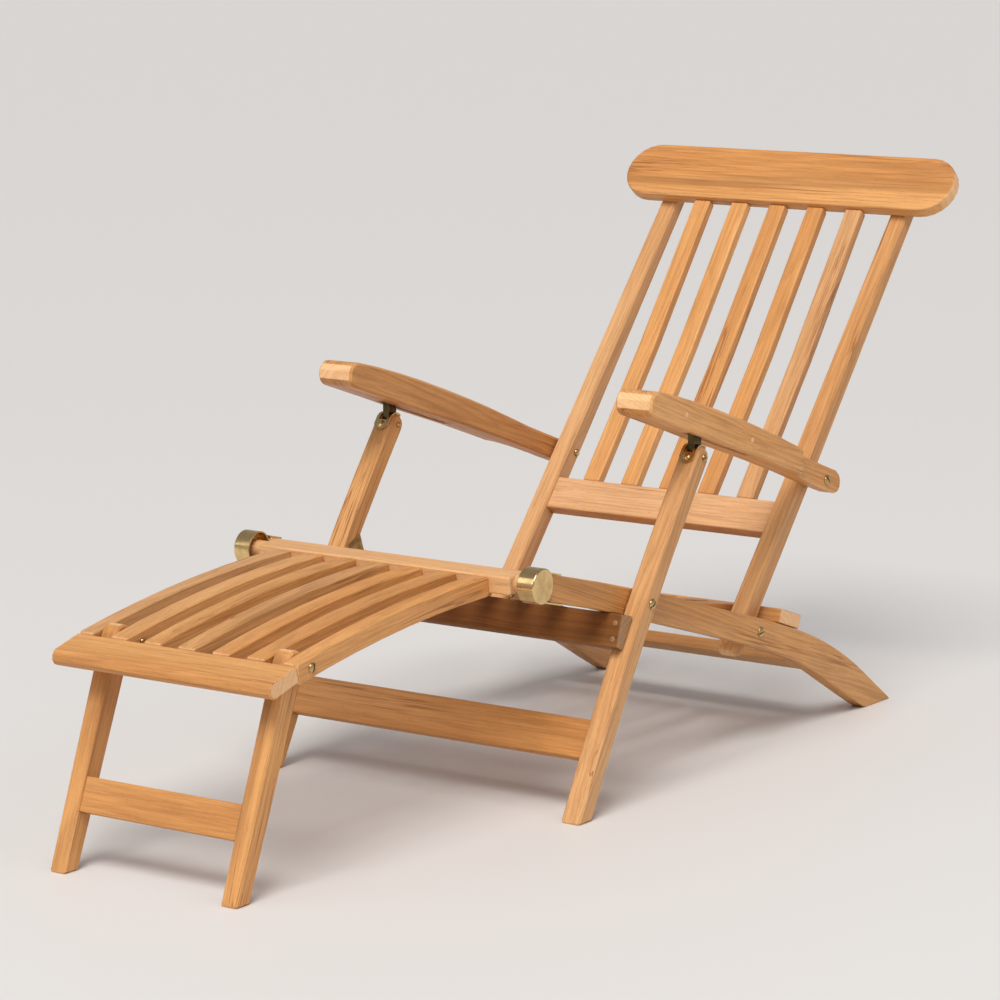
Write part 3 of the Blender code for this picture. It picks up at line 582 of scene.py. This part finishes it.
def screw_shape(spot, normal, turn):
    """Small domed screw head with a slot, lying on a surface."""
    profile = dome(0.0026, 0.0002, SCREW_RADIUS) + [(-0.0012, SCREW_RADIUS), (-0.0012, 0.0)]
    slot = block((0.0010, -0.008, -0.0007), (0.006, 0.008, 0.0007))
    head = carved(lathe(profile, ORIGIN, 1, 40), turned_about(slot, ORIGIN, turn))
    lie = X_AXIS.rotation_difference(normal).to_matrix()
    for vert in head.verts:
        vert.co = lie @ vert.co + spot
    return head


def saddle_shape(node, centre, side):
    """Strap round the front of the leg's top with its screw, open where the hook passes."""
    low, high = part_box(node)
    run = LEG_TOP_RUN
    radius = LEG_TOP_RADIUS + SADDLE_GAP + SADDLE_THICK / 2
    normal = Vector((0.0, math.cos(run + math.pi / 2), math.sin(run + math.pi / 2)))
    back = Vector((0.0, math.cos(run), math.sin(run)))
    path, across = saddle_outline(centre, normal, back, radius, (low.x, high.x))
    shape = sheet_shape(path, across, 0.0011)
    gap = sorted(x * side for x in SLOT_WIDE)
    gate = block((gap[0], centre.y - 0.002, centre.z - 0.035), (gap[1], centre.y + 0.048, centre.z + 0.035))
    shape = carved(shape, turned_about(gate, centre, run))
    spot = centre + normal * (radius + 0.0011) - back * SCREW_DOWN
    spot.x = (low.x + high.x) / 2
    return both(shape, screw_shape(spot, normal, SCREW_TURN * side))


# ---------------------------------------------------------------- wooden pieces

# tone, figure, streaks and how far the colour leans from orange to pink
TONES_AND_PAINTED_SHADE = {
    "headboard": (0.02, 0.8, 0.75, 0.88),
    # the cross board's dark tone is painted shade: it stands for the shade that the seat and footrest above
    # cast on it
    "upper_cross_board": (-0.66, 1.3, 0.6, 0.40),
    "back_lower_bar": (0.06, 0.6, 0.0, 1.55),
    "back_stile_left": (0.0, 0.9, 0.2, 1.15),
    "back_stile_right": (0.0, 0.9, 0.2, 1.30),
    "back_slat_1": (0.06, 0.8, 0.0, 0.95),
    "back_slat_2": (0.08, 0.8, 0.0, 0.95),
    "back_slat_3": (0.03, 0.9, 0.55, 0.90),
    "back_slat_4": (0.02, 0.8, 0.1, 0.95),
    "back_slat_5": (-0.02, 1.1, 0.45, 1.30),
    "footrest_front_bar": (-0.03, 0.9, 0.25, 0.90),
    "footrest_slat_2": (0.02, 1.1, 0.50, 1.00),
    "footrest_slat_3": (-0.06, 1.2, 0.80, 1.05),
    "footrest_slat_4": (0.05, 0.8, 0.2, 0.90),
    "footrest_leg_left": (0.0, 1.2, 0.45, 0.85),
    "footrest_leg_right": (-0.04, 1.1, 0.3, 0.90),
    "footrest_leg_stretcher": (-0.10, 0.8, 0.1, 0.80),
    "front_leg_left": (-0.02, 1.2, 0.35, 1.20),
    "front_stretcher": (-0.08, 0.9, 0.2, 0.85),
    "footrest_rear_bar": (0.05, 0.7, 0.0, 1.30),
    "seat_rail_left": (-0.05, 1.1, 0.45, 0.90),
    "arm_left": (0.10, 1.1, 0.30, 1.00),
    "arm_right": (0.0, 1.0, 0.3, 1.05),
}
SPARE_TONES = ((-0.08, 0.08), (0.7, 1.2), (0.0, 0.5), (0.85, 1.3))


def nodes_of(start):
    """Names of the nodes whose material slot starts with that word."""
    return [node for node in sorted(NODES) if SLOT_OF[node].startswith(start)]


def wood_pieces():
    for number, node in enumerate(nodes_of("teak"), 1):
        rng = random.Random(number * 37 + 5)
        bm = welded(node)
        turn, along = grain_frame(np.array([v.co for v in bm.verts]))
        spare = tuple(rng.uniform(*limits) for limits in SPARE_TONES)
        surface = teak("teak_of_" + node, along, turn, *TONES_AND_PAINTED_SHADE.get(node, spare), number)
        item = add_piece("finished_" + node, bm, BODY_OF[node], surface, node)
        soften(item, WOOD_EDGE, 28.0)


# ---------------------------------------------------------------- brass pieces

PIVOT_OF = {
    "leg_pivot_bolt": "front_legs_fold",
    "back_pivot_bolt": "back_fold",
    "arm_pivot_bolt": "arm_left_turn",
    "footrest_leg_bolt": "footrest_legs_fold",
    "hook_pin": "hook_left_turn",
    "saddle": "hook_left_turn",
    "hinge_cup": "footrest_swing",
}
# range of roughness, tarnish, depth of colour
FINISH_AND_PAINTED_SHADE = {
    "hinge_cup": ((0.08, 0.30), 0.45, 1.0),
    # the latch hook's very low depth of colour is painted shade and painted dark reflection from the arm
    # above it
    "latch_hook": ((0.22, 0.40), 0.95, 0.13),
    "saddle": ((0.12, 0.28), 0.45, 0.85),
    "wear_plate": ((0.30, 0.50), 1.0, 0.6),
    "arm_rack": ((0.30, 0.50), 0.90, 0.5),
}
# the bolts' 0.78 depth of colour is painted dark reflection: the heads are darkened as if they mirrored a
# darker floor
BOLT_FINISH_AND_PAINTED_SHADE = ((0.16, 0.34), 0.5, 0.78)
SLOT_ANGLE = {"leg_pivot_bolt": 34, "back_pivot_bolt": 15, "arm_pivot_bolt": -48, "footrest_leg_bolt": 80}
PIN_SLOT_ANGLE = 20


def brass_shape(node):
    kind, word = node.rsplit("_", 1)
    side = dict(SIDES)[word]
    if kind not in PIVOT_OF:
        return welded(node)
    centre = Vector((0.0, *JOINT_AT[PIVOT_OF[kind]][1:]))
    if kind == "hinge_cup":
        return both(cup_shape(node, centre, side), cup_straps(node, centre))
    if kind == "saddle":
        return saddle_shape(node, centre + SADDLE_SHIFT, side)
    return bolt_shape(node, centre, side, SLOT_ANGLE.get(kind, PIN_SLOT_ANGLE) * side)


def brass_pieces():
    for number, node in enumerate(nodes_of("brass"), 101):
        finish_and_shade = FINISH_AND_PAINTED_SHADE.get(node.rsplit("_", 1)[0], BOLT_FINISH_AND_PAINTED_SHADE)
        surface = brass("brass_of_" + node, *finish_and_shade, number)
        item = add_piece("finished_" + node, brass_shape(node), BODY_OF[node], surface, node)
        soften(item, BRASS_EDGE, 35.0)


# ---------------------------------------------------------------- plugs over the screws


def plug(name, spot, out, host, tone, seed):
    """Short dowel glued over a screw of the host, its domed end grain just proud of the wood."""
    profile = [(-PLUG_DEEP, 0.0), (-PLUG_DEEP, PLUG_RADIUS)]
    profile += list(reversed(dome(PLUG_PROUD, 0.0, PLUG_RADIUS, 5)))
    bm = lathe(profile, ORIGIN, 1, 32)
    lie = X_AXIS.rotation_difference(out).to_matrix()
    for vert in bm.verts:
        vert.co = lie @ vert.co + Vector(spot)
    turn = Vector(out).rotation_difference(X_AXIS)
    surface = teak("teak_of_" + name, Vector(out), turn, tone, 0.6, 0.0, 1.3, seed)
    add_piece(name, bm, BODY_OF[host], surface)


def front_of(node, x, z):
    """Point at that X and height on a node's broad front face, and the face's direction."""
    bm = welded(node)
    face = max((f for f in bm.faces if f.normal.y < -0.5), key=lambda f: f.calc_area())
    start, out = face.verts[0].co.copy(), face.normal.copy()
    bm.free()
    return (x, start.y - out.z * (z - start.z) / out.y, z), out


def plugs():
    """Two in the outer face of each arm, two at each end of the cross board's front."""
    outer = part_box("arm_left")[1].x
    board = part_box("upper_cross_board")[1].x - BOARD_PLUG_IN
    seed = 300
    for word, side in SIDES:
        for k, (y, z) in enumerate(ARM_PLUGS):
            seed += 1
            name = "plug_arm_%s_%d" % (word, k + 1)
            plug(name, (outer * side, y, z), X_AXIS * side, "arm_" + word, 0.10, seed)
        for k, z in enumerate(BOARD_PLUGS):
            seed += 1
            spot, out = front_of("upper_cross_board", board * side, z)
            # the board plugs' dark tone is painted shade, matching the painted shade of the board around them
            plug("plug_board_%s_%d" % (word, k + 1), spot, out, "upper_cross_board", -0.78, seed)


# ---------------------------------------------------------------- stage, light, camera


def plain_floor():
    bm = bmesh.new()
    bmesh.ops.create_grid(bm, x_segments=1, y_segments=1, size=FLOOR_HALF)
    item = placed("floor", bm)
    s = Shader("pale_floor")
    s.feed(s.surface.inputs["Base Color"], FLOOR_PALE)
    s.feed(s.surface.inputs["Roughness"], 0.55)
    item.data.materials.append(s.material)


def soft_light(name, place, power):
    lamp = bpy.data.lights.new(name, "AREA")
    lamp.shape = "RECTANGLE"
    lamp.size, lamp.size_y = LIGHT_SIZE
    lamp.energy = power
    item = bpy.data.objects.new(name, lamp)
    item.location = place
    item.rotation_euler = (LIGHT_TARGET - Vector(place)).to_track_quat("-Z", "Y").to_euler()
    bpy.context.scene.collection.objects.link(item)


def key_light():
    lamp = bpy.data.lights.new("key", "SUN")
    lamp.energy = KEY_POWER
    lamp.angle = KEY_ANGLE
    lamp.color = KEY_COLOUR
    item = bpy.data.objects.new("key", lamp)
    item.rotation_euler = KEY_AIM.to_track_quat("-Z", "Y").to_euler()
    bpy.context.scene.collection.objects.link(item)


def sky():
    """Plain surroundings, brighter at the horizon than overhead."""
    world = bpy.data.worlds.new("studio")
    world.use_nodes = True
    tree = world.node_tree
    back = tree.nodes["Background"]
    back.inputs[1].default_value = 1.0
    coords = tree.nodes.new("ShaderNodeTexCoord")
    split = tree.nodes.new("ShaderNodeSeparateXYZ")
    ramp = tree.nodes.new("ShaderNodeValToRGB")
    tree.links.new(coords.outputs["Generated"], split.inputs[0])
    tree.links.new(split.outputs["Z"], ramp.inputs[0])
    tree.links.new(ramp.outputs[0], back.inputs[0])
    for element, place, colour in zip(ramp.color_ramp.elements, (0.0, 1.0), (SKY_LOW, SKY_HIGH)):
        element.position = place
        element.color = colour
    bpy.context.scene.world = world


def camera():
    level = math.cos(CAMERA_PITCH)
    look = Vector((-math.sin(CAMERA_YAW) * level, math.cos(CAMERA_YAW) * level, -math.sin(CAMERA_PITCH)))
    right = Vector((math.cos(CAMERA_YAW), math.sin(CAMERA_YAW), 0.0))
    basis = Matrix((right, right.cross(look), -look)).transposed().to_4x4()
    data = bpy.data.cameras.new("camera")
    data.lens = CAMERA_LENS
    data.sensor_width = SENSOR_WIDE
    item = bpy.data.objects.new("camera", data)
    item.matrix_world = Matrix.Translation(CAMERA_AT) @ basis @ Matrix.Rotation(CAMERA_ROLL, 4, "Z")
    bpy.context.scene.collection.objects.link(item)
    bpy.context.scene.camera = item


wood_pieces()
brass_pieces()
plugs()

plain_floor()
sky()
key_light()
for lamp_name, lamp_place, lamp_power in SOFT_LIGHTS:
    soft_light(lamp_name, lamp_place, lamp_power)
bpy.context.scene.view_settings.view_transform = "Standard"
camera()
